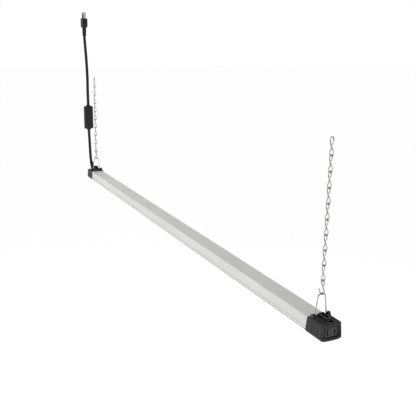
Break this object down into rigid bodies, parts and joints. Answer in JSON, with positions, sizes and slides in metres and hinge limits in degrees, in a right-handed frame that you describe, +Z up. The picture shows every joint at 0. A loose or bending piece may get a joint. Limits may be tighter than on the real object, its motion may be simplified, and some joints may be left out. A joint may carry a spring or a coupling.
{
  "type": "hanging shop light",
  "caption": "Slim linear shop light with a milky lens, moulded end caps and a linking outlet, hung on two jack chains, with a switched cord.",
  "frame": {"origin": "midway between the two bearing points where the chains' top loops rest on their ceiling hooks", "axes": "+X along the light towards the outlet, +Z up, Y across the light"},
  "size_m": [1.172, 0.0499, 0.4664],
  "materials": {
    "chain_wire": "zinc-plated steel wire",
    "bright_wire": "bright zinc-plated steel wire",
    "housing_metal": "satin silver sheet",
    "milky_lens": "milky diffusing polycarbonate",
    "cap_plastic": "fine-textured black moulding",
    "outlet_plastic": "smooth black moulding",
    "brass": "stamped brass",
    "tray_metal": "white-coated sheet",
    "board_white": "white solder mask",
    "led_phosphor": "yellow phosphor",
    "board_green": "green solder mask",
    "coil_tape": "yellow insulating tape",
    "capacitor_sleeve": "dark blue sleeve",
    "block_plastic": "ivory nylon",
    "black_wire": "black insulation",
    "white_wire": "white insulation",
    "cord_jacket": "black jacket",
    "switch_plastic": "fine-textured black moulding",
    "rocker_plastic": "smooth black moulding",
    "screw_steel": "zinc-plated steel"
  },
  "bodies": {
    "ceiling_links": {"left_link_1": "chain_wire", "right_link_1": "chain_wire"},
    "swing_links": {"left_link_2": "chain_wire", "right_link_2": "chain_wire"},
    "left_chain": {"left_link_3": "chain_wire", "left_link_4": "chain_wire", "left_link_5": "chain_wire", "left_link_6": "chain_wire", "left_link_7": "chain_wire", "left_link_8": "chain_wire", "left_link_9": "chain_wire", "left_s_hook": "bright_wire", "left_hanger_wire": "bright_wire"},
    "right_chain": {"right_link_3": "chain_wire", "right_link_4": "chain_wire", "right_link_5": "chain_wire", "right_link_6": "chain_wire", "right_link_7": "chain_wire", "right_link_8": "chain_wire", "right_link_9": "chain_wire", "right_s_hook": "bright_wire", "right_hanger_wire": "bright_wire"},
    "light": {"housing": "housing_metal", "diffuser_lens": "milky_lens", "outlet_end_cap": "cap_plastic", "cord_end_cap": "cap_plastic", "outlet_insert": "outlet_plastic", "live_contact": "brass", "neutral_contact": "brass", "gear_tray": "tray_metal", "led_board": "board_white", "led_chips": "led_phosphor", "driver_board": "board_green", "driver_transformer": "coil_tape", "driver_capacitors": "capacitor_sleeve", "terminal_block": "block_plastic", "cord_live_wire": "black_wire", "cord_neutral_wire": "white_wire", "through_live_wire": "black_wire", "through_neutral_wire": "white_wire", "cord_bushing": "cord_jacket", "cord_lower": "cord_jacket", "cord_upper": "cord_jacket", "switch_front": "switch_plastic", "switch_back": "switch_plastic", "switch_contacts": "brass", "switch_screws": "screw_steel", "plug_body": "cord_jacket", "plug_live_blade": "brass", "plug_neutral_blade": "brass"},
    "switch_rocker": {"switch_rocker": "rocker_plastic"}
  },
  "joints": [
    {"name": "sideways_swing", "type": "hinge", "parent": "ceiling_links", "child": "swing_links", "pos_m": [0, 0, -0.02378], "axis": [1, 0, 0], "range_deg": [-20, 20]},
    {"name": "lengthwise_swing", "type": "hinge", "parent": "swing_links", "child": "left_chain", "pos_m": [-0.557, 0, -0.04863], "axis": [0, 1, 0], "range_deg": [-18, 18]},
    {"name": "right_chain_swing", "type": "hinge", "parent": "swing_links", "child": "right_chain", "pos_m": [0.557, 0, -0.04863], "axis": [0, 1, 0], "range_deg": [-18, 18]},
    {"name": "light_levelling", "type": "hinge", "parent": "left_chain", "child": "light", "pos_m": [-0.557, 0, -0.26048], "axis": [0, 1, 0], "range_deg": [-18, 18]},
    {"name": "rocker_press", "type": "hinge", "parent": "light", "child": "switch_rocker", "pos_m": [-0.567, -0.018, -0.11], "axis": [0, 1, 0], "range_deg": [0, 18]}
  ],
  "couplings": [
    {"joint": "right_chain_swing", "follows": "lengthwise_swing", "ratio": 1},
    {"joint": "light_levelling", "follows": "lengthwise_swing", "ratio": -1}
  ]
}
